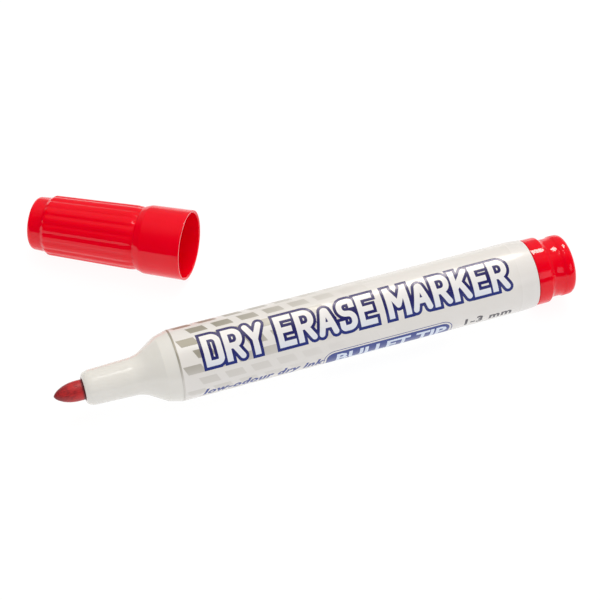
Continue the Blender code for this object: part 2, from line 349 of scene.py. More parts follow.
@dataclass(frozen=True)
class FadingSilver:
    """Silver flake ink under clear lacquer.

    It is printed as a halftone that fades out along the barrel. Lower down its near side it is also made
    weaker and paler, which is painted light, not the print.
    """

    name: str = "silver_flake_ink"
    silver: str = "#A5A092"
    white: str = "#E7E4E1"
    # Flakes are about 0.02 mm across; drawn at 0.2 mm so that they show.
    flake_mm: float = 0.2
    # Distances behind the barrel's front edge.
    full_until_mm: float = 10.0
    gone_from_mm: float = 48.0
    # Heights between which painted light makes it weaker and paler, to its lowest strength at the lower one,
    # above the surface that the marker lies on.
    upper_mm: float = 15.2
    lower_mm: float = 11.0
    painted_light_strength: float = 0.30
    metallic: float = 0.15
    # Between a flake's face and the binder beside it.
    smoothest: float = 0.36
    roughest: float = 0.48

    def material(self, front: float) -> bpy.types.Material:
        """Makes the ink for a barrel whose front edge lies at x = front.

        Args:
            front: the barrel's front edge in metres.

        Returns:
            The material.
        """
        material, tree, shader = new_material(self.name)
        place = add_node(tree, "ShaderNodeTexCoord").outputs["Object"]
        parts = add_node(tree, "ShaderNodeSeparateXYZ", {0: place}).outputs
        span = (front + self.full_until_mm * MM, front + self.gone_from_mm * MM)
        along = spread(tree, parts["X"], 1.0, 0.0, span)
        # Painted light: the silver is made weaker and paler lower down the near side.
        down = spread(
            tree, parts["Z"], self.painted_light_strength, 1.0, (self.lower_mm * MM, self.upper_mm * MM)
        )
        strength = add_node(
            tree, "ShaderNodeMath", {0: along, 1: down}, {"operation": "MULTIPLY"}
        ).outputs[0]
        colour = ramp(tree, strength, (0.0, self.white), (1.0, self.silver))
        tree.links.new(colour, shader.inputs["Base Color"])
        flake = grain(tree, self.flake_mm, 1.0)
        rough = speckled(tree, flake, self.smoothest, self.roughest)
        tree.links.new(rough, shader.inputs["Roughness"])
        metal = spread(tree, strength, 0.0, self.metallic)
        tree.links.new(metal, shader.inputs["Metallic"])
        shader.inputs["Coat Weight"].default_value = LACQUER_WEIGHT
        shader.inputs["Coat Roughness"].default_value = LACQUER_ROUGHNESS
        return material


@dataclass(frozen=True)
class Felt:
    """Bonded acrylic fibre, soaked with ink.

    The fibres run along the nib. Ink darkens the wet hollows between them, and the dry crests look
    lighter and quite matt.
    """

    name: str
    wet: str
    dry: str
    # Fibres are about 0.03 mm; drawn at 0.16 mm so that they show.
    fibre_mm: float = 0.16
    # Each one shows for about eight times its own width.
    run: float = 8.0
    # Uneven ink, in patches of about 1.6 mm.
    patch_mm: float = 1.6
    # Painted shade: a dark ring on the felt by the nib's lip, where the gap round the nib is in shade.
    # Painted light: the felt is also made lighter towards the lip, as the light falls there.
    gap_shade: str = "#3C0A1C"
    gap_shade_mm: float = 0.45
    lit_towards_lip_mm: float = 7.0
    # Between a dry crest and a wet hollow.
    smoothest: float = 0.34
    roughest: float = 0.5
    relief_mm: float = 0.06

    def material(self, gap_shade_end: float = 1.0) -> bpy.types.Material:
        """Makes the felt.

        Args:
            gap_shade_end: where along X the ring of painted shade ends, in metres. The default lies far
                behind every piece, for a felt with no ring.

        Returns:
            The material.
        """
        material, tree, shader = new_material(self.name)
        fibre = grain(tree, self.fibre_mm, 3.0, (self.run, 1.0, 1.0))
        patch = grain(tree, self.patch_mm, 2.0)
        both = add_node(tree, "ShaderNodeMath", {0: fibre, 1: patch}, {"operation": "ADD"})
        place = add_node(tree, "ShaderNodeTexCoord").outputs["Object"]
        along = add_node(tree, "ShaderNodeSeparateXYZ", {0: place}).outputs["X"]
        # Painted light: the felt is made lighter towards the lip and darker towards the tip, as the light
        # falls.
        lit_towards_lip = spread(tree, along, -0.1, 0.12, (gap_shade_end - self.lit_towards_lip_mm * MM, gap_shade_end))
        sides = {0: both.outputs[0], 1: 0.5, 2: lit_towards_lip}
        half = add_node(tree, "ShaderNodeMath", sides, {"operation": "MULTIPLY_ADD"})
        colour = ramp(tree, half.outputs[0], (0.40, self.wet), (0.60, self.dry))
        # Painted shade: a dark ring on the felt just in front of the lip, where the gap round the nib is in
        # shade.
        width = self.gap_shade_mm * MM
        ring = spread(tree, along, 0.0, 0.85, (gap_shade_end - 2 * width, gap_shade_end - width))
        gap_shaded = add_node(
            tree,
            "ShaderNodeMix",
            {"Factor": ring, "A": (0, 0, 0, 1), "B": linear(self.gap_shade)},
            {"data_type": "RGBA"},
        )
        tree.links.new(colour, gap_shaded.inputs[6])
        tree.links.new(gap_shaded.outputs[2], shader.inputs["Base Color"])
        rough = speckled(tree, fibre, self.smoothest, self.roughest)
        tree.links.new(rough, shader.inputs["Roughness"])
        relief = {"Height": fibre, "Strength": 0.5, "Distance": self.relief_mm * MM}
        bump = add_node(tree, "ShaderNodeBump", relief)
        tree.links.new(bump.outputs["Normal"], shader.inputs["Normal"])
        shader.inputs["Sheen Weight"].default_value = 0.04
        shader.inputs["Sheen Roughness"].default_value = 0.5
        return material


@dataclass(frozen=True)
class Film:
    """Blown polyester film, pulled round a fibre rod.

    It is clear and glossy with long shallow wrinkles.
    """

    name: str = "polyester_film"
    hollow: str = "#E6E4E2"
    crest: str = "#F4F2F0"
    # Wrinkles about 2.5 mm apart, six times as long as that and running along the sleeve.
    wrinkle_mm: float = 2.5
    run: float = 6.0
    wrinkle_depth_mm: float = 0.1
    roughness: float = 0.12
    # Polyester's refractive index.
    ior: float = 1.57

    def material(self) -> bpy.types.Material:
        """Makes the film's material.

        Returns:
            The material.
        """
        material, tree, shader = new_material(self.name)
        wrinkle = grain(tree, self.wrinkle_mm, 2.0, (self.run, 1.0, 1.0))
        colour = ramp(tree, wrinkle, (0.3, self.hollow), (0.7, self.crest))
        tree.links.new(colour, shader.inputs["Base Color"])
        relief = {"Height": wrinkle, "Strength": 0.4, "Distance": self.wrinkle_depth_mm * MM}
        bump = add_node(tree, "ShaderNodeBump", relief)
        tree.links.new(bump.outputs["Normal"], shader.inputs["Normal"])
        shader.inputs["Roughness"].default_value = self.roughness
        shader.inputs["IOR"].default_value = self.ior
        return material


# The cap and the rear plug: a glossy, strongly coloured plastic that glows a little from inside.
RED_MOULDING = Moulding(
    "red_polypropylene", "#F10020", "#EE001D", 0.075, 0.5, 2.0, (1.0, 0.06, 0.10), specular=0.38
)
# The front section: an opaque, slightly warm white with a soft gloss.
WHITE_MOULDING = Moulding("white_polypropylene", "#E8E6E1", "#E5E3DD", 0.15, 0.1, 1.0)
# The barrel, whose lacquer makes it a little greyer and more matt.
LACQUERED_MOULDING = Moulding(
    "lacquered_white_polypropylene", "#E8E5E2", "#E6E3DF", 0.24, 0.08, 1.0
)
# The cap's liner: uncoloured, waxy and milky.
NATURAL_MOULDING = Moulding("natural_polyethylene", "#E4E2DA", "#DAD8D0", 0.38, 0.35, 2.0)
NIB_FELT = Felt("ink_soaked_felt", "#860916", "#C4181C")
CORE_FIBRE = Felt("ink_soaked_fibre", "#7C0F1A", "#B3222E", 0.3, 12.0, 3.0)
FILM = Film()


# ---------------------------------------------------------------- outlines


@dataclass(frozen=True)
class Corner:
    """A corner of an outline, in millimetres: along the axis, away from it, and how it is rounded.

    groove is how far the grooves between the ribs go in below this corner.
    """

    x: float
    r: float
    fillet: float = 0.0
    groove: float = 0.0


def rounded(corners: Sequence[Corner], steps: int = 5, hold: float = 0.25) -> list[Corner]:
    """Rounds an outline's corners.

    Args:
        corners: the outline's corners in order. The first and the last stay as they are.
        steps: how many parts each rounding has.
        hold: distance in millimetres to an extra point beside each rounding. It keeps the shading
            of the straight stretch flat.

    Returns:
        The rounded outline.
    """
    points = [corners[0]]
    for before, here, after in zip(corners, corners[1:], corners[2:]):
        place = Vector((here.x, here.r))
        back = Vector((before.x, before.r)) - place
        forth = Vector((after.x, after.r)) - place
        if here.fillet <= 0 or back.length < 1e-6 or forth.length < 1e-6:
            points.append(here)
            continue
        turn = math.pi - back.angle(forth)
        reach = min(here.fillet * math.tan(turn / 2), 0.48 * back.length, 0.48 * forth.length)
        start = place + back.normalized() * reach
        end = place + forth.normalized() * reach
        beside: list[Vector | None] = [None, None]
        for side, way in enumerate((back, forth)):
            if way.length > 2 * (reach + hold):
                beside[side] = place + way.normalized() * (reach + hold)
        arc = []
        for step in range(steps + 1):
            share = step / steps
            # A rational quadratic curve with this weight is a true circular arc.
            weight = math.cos(turn / 2)
            parts = ((1 - share) ** 2, 2 * share * (1 - share) * weight, share**2)
            spot = (start * parts[0] + place * parts[1] + end * parts[2]) / sum(parts)
            arc.append(spot)
        for spot in [beside[0], *arc, beside[1]]:
            if spot is not None:
                points.append(Corner(spot.x, spot.y, 0.0, here.groove))
    points.append(corners[-1])
    return points


# ---------------------------------------------------------------- the turning tree


class TurningTree:
    """A Geometry Nodes tree that sweeps an outline round the X axis and cuts even grooves in it.

    The outline is a chain of points (x, r, 0) in metres, each with the depth of the grooves there.
    """

    INPUTS = (
        ("Segments", "NodeSocketInt", ROUND_SEGMENTS),
        ("Ribs", "NodeSocketInt", 0),
        ("Crest", "NodeSocketFloat", 0.25),
        ("Floor", "NodeSocketFloat", 1.0),
        ("Fuzz", "NodeSocketFloat", 0.0),
        ("Fuzz Size", "NodeSocketFloat", 0.3 * MM),
        ("Material", "NodeSocketMaterial", None),
    )

    def __init__(self) -> None:
        """Builds the tree."""
        self.tree = bpy.data.node_groups.new("turned_piece", "GeometryNodeTree")
        sockets = self.tree.interface
        sockets.new_socket("Geometry", in_out="INPUT", socket_type="NodeSocketGeometry")
        for name, kind, value in self.INPUTS:
            socket = sockets.new_socket(name, in_out="INPUT", socket_type=kind)
            if value is not None:
                socket.default_value = value
        sockets.new_socket("Geometry", in_out="OUTPUT", socket_type="NodeSocketGeometry")
        self._fill()

    def _math(self, operation: str, *values: Any) -> Any:
        """Adds a Math node and returns its output."""
        node = add_node(
            self.tree, "ShaderNodeMath", dict(enumerate(values)), {"operation": operation}
        )
        return node.outputs[0]

    def _sample(self, outline: Any, value: Any, kind: str, index: Any) -> Any:
        """Reads a value at one of the outline's points.

        Args:
            outline: the outline's geometry.
            value: the field to read.
            kind: the field's data type.
            index: the point's number.

        Returns:
            The value's socket.
        """
        node = add_node(
            self.tree,
            "GeometryNodeSampleIndex",
            {"Geometry": outline, "Index": index},
            {"data_type": kind, "domain": "POINT", "clamp": True},
        )
        self.tree.links.new(value, node.inputs["Value"])
        return node.outputs["Value"]

    def _fill(self) -> None:
        """Adds the tree's nodes."""
        tree, calc = self.tree, self._math
        given = tree.nodes.new("NodeGroupInput").outputs
        outline = given["Geometry"]
        count = add_node(tree, "GeometryNodeAttributeDomainSize", {"Geometry": outline})
        across = calc("ADD", given["Segments"], 1.0)
        grid = add_node(
            tree,
            "GeometryNodeMeshGrid",
            {"Vertices X": count.outputs["Point Count"], "Vertices Y": across},
        )
        index = tree.nodes.new("GeometryNodeInputIndex").outputs[0]
        station = calc("FLOOR", calc("DIVIDE", calc("ADD", index, 0.5), across))
        step = calc("SUBTRACT", index, calc("MULTIPLY", station, across))
        share = calc("DIVIDE", step, given["Segments"])
        angle = calc("MULTIPLY", share, math.tau)
        position = tree.nodes.new("GeometryNodeInputPosition").outputs[0]
        spot = self._sample(outline, position, "FLOAT_VECTOR", station)
        parts = add_node(tree, "ShaderNodeSeparateXYZ", {0: spot}).outputs
        depth = add_node(
            tree, "GeometryNodeInputNamedAttribute", {"Name": GROOVE}, {"data_type": "FLOAT"}
        )
        groove = self._sample(outline, depth.outputs["Attribute"], "FLOAT", station)
        # Distance from a rib's crest: 0 in its middle, 1 in the middle of the next groove.
        phase = calc("FRACT", calc("MULTIPLY", share, given["Ribs"]))
        from_crest = calc("MULTIPLY", calc("ABSOLUTE", calc("SUBTRACT", phase, 0.5)), 2.0)
        from_crest = calc("SUBTRACT", 1.0, from_crest)
        cut = add_node(
            tree,
            "ShaderNodeMapRange",
            {"Value": from_crest, "From Min": given["Crest"], "From Max": given["Floor"]},
            {"interpolation_type": "SMOOTHSTEP"},
        )
        radius = calc("SUBTRACT", parts["Y"], calc("MULTIPLY", groove, cut.outputs["Result"]))
        place = add_node(
            tree,
            "ShaderNodeCombineXYZ",
            {
                "X": parts["X"],
                "Y": calc("MULTIPLY", radius, calc("COSINE", angle)),
                "Z": calc("MULTIPLY", radius, calc("SINE", angle)),
            },
        )
        swept = add_node(
            tree,
            "GeometryNodeSetPosition",
            {"Geometry": grid.outputs["Mesh"], "Position": place.outputs[0]},
        )
        closed = add_node(
            tree,
            "GeometryNodeMergeByDistance",
            {"Geometry": swept.outputs[0], "Distance": MERGE_DISTANCE},
        )
        noise_scale = calc("DIVIDE", 1.0, given["Fuzz Size"])
        noise = add_node(
            tree, "ShaderNodeTexNoise", {"Vector": position, "Scale": noise_scale, "Detail": 2.0}
        )
        lift = calc("MULTIPLY", calc("SUBTRACT", noise.outputs["Fac"], 0.5), given["Fuzz"])
        normal = tree.nodes.new("GeometryNodeInputNormal").outputs[0]
        offset = add_node(
            tree, "ShaderNodeVectorMath", {0: normal, "Scale": lift}, {"operation": "SCALE"}
        )
        fuzzy = add_node(
            tree,
            "GeometryNodeSetPosition",
            {"Geometry": closed.outputs[0], "Offset": offset.outputs[0]},
        )
        smooth = add_node(tree, "GeometryNodeSetShadeSmooth", {"Geometry": fuzzy.outputs[0]})
        real = add_node(tree, "GeometryNodeRealizeInstances", {"Geometry": smooth.outputs[0]})
        finished = add_node(
            tree,
            "GeometryNodeSetMaterial",
            {"Geometry": real.outputs[0], "Material": given["Material"]},
        )
        add_node(tree, "NodeGroupOutput", {0: finished.outputs[0]})

    def identifier(self, name: str) -> str:
        """Finds an input's identifier.

        Args:
            name: the input's name.

        Returns:
            The identifier.
        """
        for item in self.tree.interface.items_tree:
            if item.item_type == "SOCKET" and item.in_out == "INPUT" and item.name == name:
                return item.identifier
        raise KeyError(name)

    def turn(self, outline: Sequence[Corner], inputs: Mapping[str, Any]) -> bpy.types.Mesh:
        """Sweeps an outline.

        Args:
            outline: the finished outline in millimetres. A tube's ends where it starts.
            inputs: values of the tree's inputs by name.

        Returns:
            A plain mesh in metres, about the X axis, with its faces outward.
        """
        chain = bpy.data.meshes.new("outline")
        places = [(corner.x * MM, corner.r * MM, 0.0) for corner in outline]
        edges = [(i, i + 1) for i in range(len(places) - 1)]
        chain.from_pydata(places, edges, [])
        depths = chain.attributes.new(GROOVE, "FLOAT", "POINT")
        depths.data.foreach_set("value", [corner.groove * MM for corner in outline])
        guide = bpy.data.objects.new("outline", chain)
        bpy.context.scene.collection.objects.link(guide)
        modifier = guide.modifiers.new("turning", "NODES")
        modifier.node_group = self.tree
        for name, value in inputs.items():
            modifier[self.identifier(name)] = value
        graph = bpy.context.evaluated_depsgraph_get()
        mesh = bpy.data.meshes.new_from_object(guide.evaluated_get(graph))
        bpy.data.objects.remove(guide)
        bpy.data.meshes.remove(chain)
        face_outward(mesh)
        return mesh


def face_outward(mesh: bpy.types.Mesh) -> None:
    """Turns a closed mesh's faces outward, after removing faces with no area.

    Args:
        mesh: the mesh, whose doubles are already merged.
    """
    work = bmesh.new()
    work.from_mesh(mesh)
    bmesh.ops.dissolve_degenerate(work, dist=NO_WIDTH, edges=work.edges)
    bmesh.ops.recalc_face_normals(work, faces=work.faces)
    work.to_mesh(mesh)
    work.free()


# ---------------------------------------------------------------- placing pieces


@dataclass(frozen=True)
class Place:
    """Where a sub-assembly's own axis lies in the frame."""

    matrix: Matrix
    body: str

    def put(self, name: str, mesh: bpy.types.Mesh, slot: str, *nodes: str) -> bpy.types.Object:
        """Makes a piece from a mesh on this axis.

        Args:
            name: the piece's name.
            mesh: its mesh, about the X axis.
            slot: a name for its material slot; not used.
            nodes: the CAD nodes that it stands for.

        Returns:
            The piece, at the origin, with its place in its mesh.
        """
        mesh.transform(self.matrix)
        mesh.name = name
        piece = bpy.data.objects.new(name, mesh)
        bpy.context.scene.collection.objects.link(piece)
        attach(piece, self.body)
        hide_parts(*nodes)
        log.info("%s: %d faces, stands for %s", name, len(mesh.polygons), ", ".join(nodes))
        return piece


def marker_place() -> Place:
    """Finds the marker's axis: x = 0 at the barrel's front edge, running back along the barrel.

    Returns:
        The marker's place.
    """
    low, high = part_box("barrel")
    middle = (low + high) / 2
    return Place(Matrix.Translation((low.x, middle.y, middle.z)), MARKER_BODY)


def cap_place(lean: float) -> Place:
    """Finds the cap's axis: x = 0 at its mouth, with the closed end towards -X.

    Args:
        lean: by how much the axis rises towards the mouth, in radians.

    Returns:
        The cap's place.
    """
    swing = next(joint for joint in frame["joints"] if joint["name"] == "cap_swing")
    yaw = -math.radians(swing["range_deg"][1])
    turn = Matrix.Rotation(yaw, 4, "Z") @ Matrix.Rotation(-lean, 4, "Y")
    axis = turn @ Vector((1.0, 0.0, 0.0))
    points = [vertex.co for vertex in frame["nodes"]["cap_shell"].data.vertices]
    front = max(point.dot(axis) for point in points)
    rim = [point for point in points if point.dot(axis) > front - 0.05 * MM]
    mouth = sum(rim, Vector()) / len(rim)
    return Place(Matrix.Translation(mouth) @ turn, CAP_BODY)


# ---------------------------------------------------------------- lettering


# A stroke's corners: shares of the letter's width and height, and a rounding in millimetres.
Stroke = tuple[tuple[float, float, float], ...]
Polygon = list[tuple[float, float]]


@dataclass(frozen=True)
class Letter:
    """A plain capital letter: its width as a share of the usual one, and its strokes."""

    width: float
    strokes: tuple[Stroke, ...]


# How round a letter's bowls are, in millimetres.
BOWL = 1.5
LETTERS: dict[str, Letter] = {
    "D": Letter(
        1.0, (((0.5, 0, 0), (0, 0, 0), (0, 1, 0), (1, 1, BOWL), (1, 0, BOWL), (0.4, 0, 0)),)
    ),
    "R": Letter(
        1.0,
        (
            ((0, 0, 0), (0, 1, 0), (1, 1, BOWL), (1, 0.45, BOWL), (0, 0.45, 0)),
            ((0.5, 0.45, 0), (1, 0, 0)),
        ),
    ),
    "Y": Letter(1.05, (((0, 1, 0), (0.5, 0.48, 0), (1, 1, 0)), ((0.5, 0.48, 0), (0.5, 0, 0)))),
    "E": Letter(
        0.9, (((1, 1, 0), (0, 1, 0), (0, 0, 0), (1, 0, 0)), ((0, 0.52, 0), (0.85, 0.52, 0)))
    ),
    "A": Letter(1.1, (((0, 0, 0), (0.5, 1, 0.3), (1, 0, 0)), ((0.2, 0.3, 0), (0.8, 0.3, 0)))),
    "S": Letter(
        0.95,
        (
            (
                *((1, 0.82, 0), (1, 1, BOWL), (0, 1, BOWL), (0, 0.52, BOWL)),
                *((1, 0.52, BOWL), (1, 0, BOWL), (0, 0, BOWL), (0, 0.18, 0)),
            ),
        ),
    ),
    "M": Letter(1.35, (((0, 0, 0), (0, 1, 0), (0.5, 0.35, 0), (1, 1, 0), (1, 0, 0)),)),
    "K": Letter(
        1.0,
        (
            ((0, 0, 0), (0, 1, 0)),
            ((1, 1, 0), (0.05, 0.4, 0)),
            ((0.4, 0.6, 0), (1, 0, 0)),
        ),
    ),
}


class InkName(Enum):
    """What may cover the barrel, in the order of its material slots."""

    BARE = 0
    SILVER = 1
    NAVY = 2
    LETTER_WHITE = 3
    GREY = 4


@dataclass(frozen=True)
class TypeLine:
    """A line of small plain type on the unrolled print. Sizes are in millimetres."""

    words: str
    start: float
    baseline: float
    size: float
    # How far the strokes' edges are moved out.
    bold: float
    slant: float = 0.0
    spacing: float = 1.0


def disc(centre: Vector, radius: float, sides: int = 14) -> Polygon:
    """Returns a round polygon about a centre."""
    turns = [math.tau * i / sides for i in range(sides)]
    return [(centre.x + radius * math.cos(a), centre.y + radius * math.sin(a)) for a in turns]


def stroke_polygons(path: Sequence[Vector], half: float) -> list[Polygon]:
    """Widens a path.

    Upright and level runs get square ends, and slanting ones get round ends.

    Args:
        path: the stroke's points in millimetres.
        half: half the stroke's width.

    Returns:
        Polygons that together cover the stroke.
    """
    level = 0.999
    sharp = 0.9
    polygons = []
    runs = [after - here for here, after in zip(path, path[1:])]
    for number, run in enumerate(runs):
        way = run.normalized()
        side = Vector((-way.y, way.x)) * half
        here, after = path[number], path[number + 1]
        sharp_before = number == 0 or runs[number - 1].angle(run) > sharp
        sharp_after = number == len(runs) - 1 or run.angle(runs[number + 1]) > sharp
        slanting = max(abs(way.x), abs(way.y)) <= level
        if not slanting:
            here = here - way * half if sharp_before else here
            after = after + way * half if sharp_after else after
        corners = (here + side, here - side, after - side, after + side)
        polygons.append([(corner.x, corner.y) for corner in corners])
        if slanting or not sharp_after:
            polygons.append(disc(path[number + 1], half))
        if slanting and number == 0:
            polygons.append(disc(path[0], half))
    return polygons


def rounded_box(low: tuple[float, float], high: tuple[float, float], radius: float) -> Polygon:
    """Draws a rectangle with round corners.

    Args:
        low: its lowest corner.
        high: its highest corner.
        radius: the corners' radius.

    Returns:
        The rectangle's outline.
    """
    steps = 6
    points = []
    centres = (
        (high[0] - radius, high[1] - radius, 0),
        (low[0] + radius, high[1] - radius, 90),
        (low[0] + radius, low[1] + radius, 180),
        (high[0] - radius, low[1] + radius, 270),
    )
    for x, y, start in centres:
        for step in range(steps + 1):
            angle = math.radians(start + 90 * step / steps)
            points.append((x + radius * math.cos(angle), y + radius * math.sin(angle)))
    return points


@dataclass(frozen=True)
class Shape:
    """One painted shape: its ink, its outline and the box round it."""

    ink: InkName
    outline: Polygon
    box: tuple[float, float, float, float]

    def covers(self, u: float, w: float) -> bool:
        """Tells whether a place lies inside the shape.

        Args:
            u: the place along the barrel.
            w: the place round it.

        Returns:
            True if it lies inside.
        """
        low_u, high_u, low_w, high_w = self.box
        if not (low_u <= u <= high_u and low_w <= w <= high_w):
            return False
        inside = False
        before = self.outline[-1]
        for here in self.outline:
            if (here[1] > w) != (before[1] > w):
                share = (w - before[1]) / (here[1] - before[1])
                if u < before[0] + share * (here[0] - before[0]):
                    inside = not inside
            before = here
        return inside


@dataclass
class Print:
    """The print on the barrel, unrolled: u runs back from the barrel's front edge, and w runs down
    the near side from the barrel's highest line, both in millimetres.

    Shapes are painted in order, and a later one covers those under it.
    """

    radius: float
    title: str = "DRY ERASE MARKER"
    title_start: float = 5.3
    title_end: float = 79.6
    title_top: float = 0.25
    title_bottom: float = 9.1
    letter_half: float = 0.66
    outline: float = 0.7
    letter_gap: float = 0.5
    word_gap: float = 2.3
    square: tuple[float, float] = (4.1, 2.0)
    square_pitch: float = 6.0
    square_slant: float = 0.9
    square_rows: int = 16
    squares_start: float = 0.7
    squares_end: float = 52.0
    panel: tuple[float, float, float, float] = (33.6, 63.6, 13.4, 19.6)
    panel_corner: float = 1.9
    panel_line_gap: float = 0.45
    panel_line: float = 0.2
    small_text: TypeLine = TypeLine("low-odour dry ink", 4.4, 16.7, 3.4, 0.15, 0.35, 1.1)
    panel_text: TypeLine = TypeLine("BULLET TIP", 35.8, 18.1, 5.4, 0.162)
    width_text: TypeLine = TypeLine("1-3 mm", 66.8, 16.5, 3.6, 0.15, 0.0, 1.12)
    shapes: list[Shape] = field(default_factory=list)
    # The shapes that reach into each half millimetre along the barrel.
    slices: dict[int, list[Shape]] = field(default_factory=dict)

    def paint(self, ink: InkName, polygons: Sequence[Polygon]) -> None:
        """Adds shapes in one ink on top of what is there.

        Args:
            ink: the shapes' ink.
            polygons: the shapes' outlines.
        """
        for polygon in polygons:
            us, ws = [spot[0] for spot in polygon], [spot[1] for spot in polygon]
            shape = Shape(ink, polygon, (min(us), max(us), min(ws), max(ws)))
            self.shapes.append(shape)
            for piece in range(int(2 * min(us)), int(2 * max(us)) + 1):
                self.slices.setdefault(piece, []).append(shape)

    def ink_at(self, u: float, w: float) -> InkName:
        """Finds the ink that shows at a place, which is that of the last shape over it.

        Args:
            u: the place along the barrel.
            w: the place round it.

        Returns:
            The ink.
        """
        for shape in reversed(self.slices.get(int(2 * u), [])):
            if shape.covers(u, w):
                return shape.ink
        return InkName.BARE

    def paint_squares(self) -> None:
        """Rows of slanted silver squares all round the barrel's front half."""
        pitch = math.tau * self.radius / self.square_rows
        width, height = self.square
        for row in range(self.square_rows):
            top = -math.pi * self.radius + pitch * row + (pitch - height) / 2
            start = self.squares_start + (row % 2) * self.square_pitch / 2
            while start + width + self.square_slant < self.squares_end:
                near, far = start, start + width
                low, high = top, top + height
                slant = self.square_slant
                square = [(near, low), (far, low), (far + slant, high), (near + slant, high)]
                self.paint(InkName.SILVER, [square])
                start += self.square_pitch

    def title_paths(self) -> list[list[Vector]]:
        """Lays the title's letters out along the barrel.

        Returns:
            The points of each of their strokes.
        """
        half = self.letter_half
        room = self.title_end - self.title_start - 2 * self.outline
        shares = sum(LETTERS[letter].width for letter in self.title if letter != " ")
        gaps = (len(self.title.replace(" ", "")) - 1) * (self.letter_gap + 2 * half)
        spaces = self.title.count(" ") * self.word_gap
        unit = (room - 2 * half - gaps - spaces) / shares
        top = self.title_top + self.outline + half
        height = self.title_bottom - self.outline - half - top
        along = self.title_start + self.outline + half
        paths = []
        for letter in self.title:
            if letter == " ":
                along += self.word_gap
                continue
            width = LETTERS[letter].width * unit
            for stroke in LETTERS[letter].strokes:
                corners = [
                    Corner(along + x * width, top + (1 - y) * height, turn)
                    for x, y, turn in stroke
                ]
                bends = rounded(corners, 5, 100.0)
                paths.append([Vector((bend.x, bend.r)) for bend in bends])
            along += width + self.letter_gap + 2 * half
        return paths

    def paint_title(self) -> None:
        """White letters with a navy outline that joins them into one band."""
        paths = self.title_paths()
        for path in paths:
            self.paint(InkName.NAVY, stroke_polygons(path, self.letter_half + self.outline))
        for path in paths:
            self.paint(InkName.LETTER_WHITE, stroke_polygons(path, self.letter_half))

    def paint_text(self, ink: InkName, line: TypeLine) -> None:
        """Sets a line of plain type.

        Args:
            ink: the line's ink.
            line: what it says, where, and how it looks.
        """
        text = bpy.data.curves.new("type", "FONT")
        text.body = line.words
        text.size = line.size
        text.resolution_u = 2
        text.offset = line.bold
        text.shear = line.slant
        text.space_character = line.spacing
        holder = bpy.data.objects.new("type", text)
        bpy.context.scene.collection.objects.link(holder)
        graph = bpy.context.evaluated_depsgraph_get()
        mesh = bpy.data.meshes.new_from_object(holder.evaluated_get(graph))
        spots = [
            (line.start + vertex.co.x, line.baseline - vertex.co.y) for vertex in mesh.vertices
        ]
        self.paint(ink, [[spots[i] for i in face.vertices] for face in mesh.polygons])
        bpy.data.objects.remove(holder)
        bpy.data.meshes.remove(mesh)
        bpy.data.curves.remove(text)

    def paint_panel(self) -> None:
        """A navy panel with round corners, a thin line round it and white type in it."""
        start, end, top, bottom = self.panel
        reach = self.panel_line_gap + self.panel_line
        for ink, out in (
            (InkName.NAVY, reach),
            (InkName.BARE, self.panel_line_gap),
            (InkName.NAVY, 0.0),
        ):
            low, high = (start - out, top - out), (end + out, bottom + out)
            self.paint(ink, [rounded_box(low, high, self.panel_corner + out)])
        self.paint_text(InkName.LETTER_WHITE, self.panel_text)

    def paint_all(self) -> None:
        """Paints the whole print."""
        self.paint_squares()
        self.paint_title()
        self.paint_panel()
        self.paint_text(InkName.NAVY, self.small_text)
        self.paint_text(InkName.GREY, self.width_text)


# ---------------------------------------------------------------- the marker's pieces


